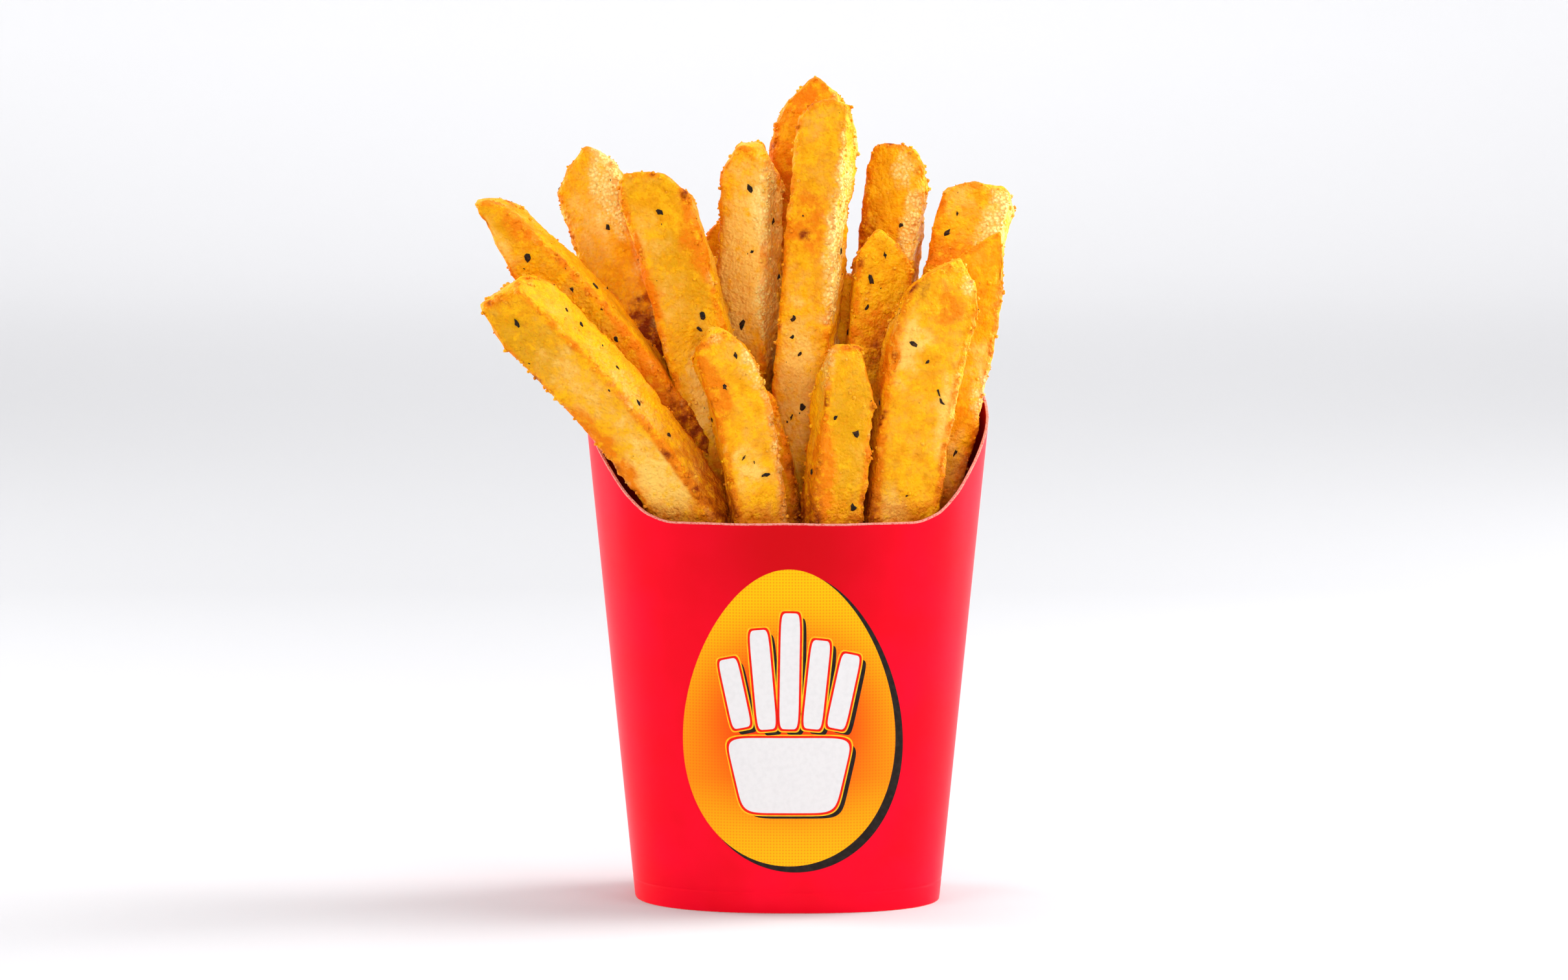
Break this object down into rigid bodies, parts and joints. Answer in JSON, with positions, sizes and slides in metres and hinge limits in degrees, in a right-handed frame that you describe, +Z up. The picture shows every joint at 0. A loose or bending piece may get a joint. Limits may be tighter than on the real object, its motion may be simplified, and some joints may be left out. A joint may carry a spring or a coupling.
{
  "type": "scoop carton of thick-cut fries",
  "caption": "Red paperboard scoop carton, low at the front and high at the back, filled with thick battered and peppered fries that fan out above it.",
  "frame": {"origin": "on the surface it stands on, under the middle of the whole footprint", "axes": "+Z up, +Y from the low front panel towards the high back panel, +X to the right as seen from the front"},
  "size_m": [0.0992, 0.0496, 0.152],
  "materials": {
    "carton_board": "red printed and coated board, satin",
    "battered_fries": "golden fried batter with pepper, slightly oily"
  },
  "bodies": {
    "root": {"fry_carton": "carton_board", "fries": "battered_fries"}
  },
  "joints": []
}
